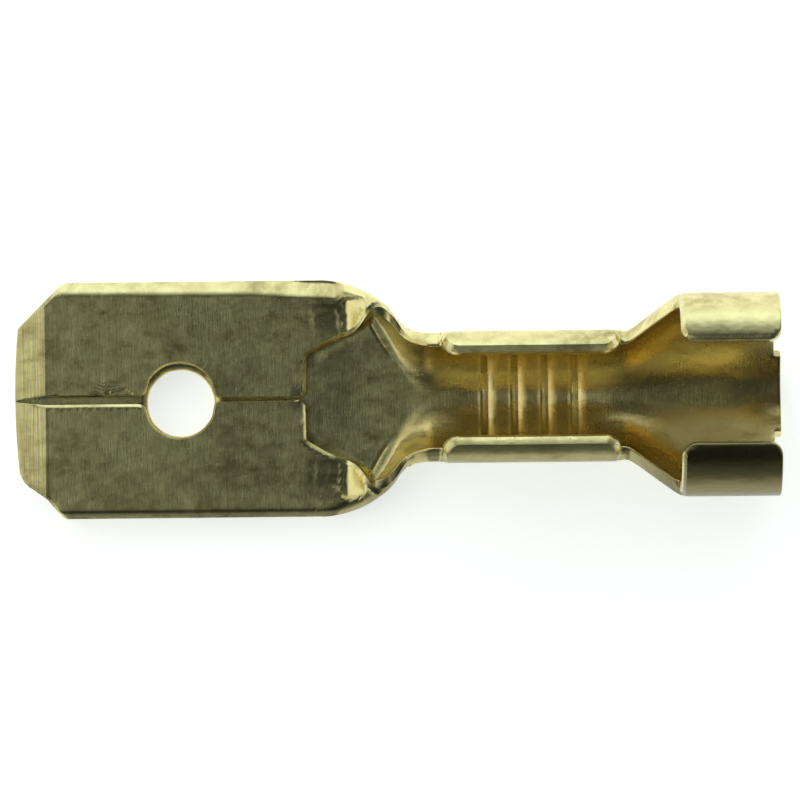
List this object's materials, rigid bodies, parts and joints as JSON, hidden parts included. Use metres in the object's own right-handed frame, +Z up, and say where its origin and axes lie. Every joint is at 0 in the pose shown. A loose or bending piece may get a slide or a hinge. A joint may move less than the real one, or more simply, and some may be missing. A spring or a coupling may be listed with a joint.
{
  "type": "spade terminal",
  "caption": "Bare brass male spade terminal: flat folded tab with a locking hole, curved neck and open crimp barrels for wire strands and insulation.",
  "frame": {"origin": "middle of the length and width, on the plane of the underside", "axes": "+X from the tab's tip towards the wire end, +Z up, away from the underside on the side where the barrels open"},
  "size_m": [0.0204, 0.0064, 0.0048],
  "materials": {
    "brass_sheet": "bare rolled sheet, satin, with press marks"
  },
  "bodies": {
    "root": {"terminal": "brass_sheet"}
  },
  "joints": []
}
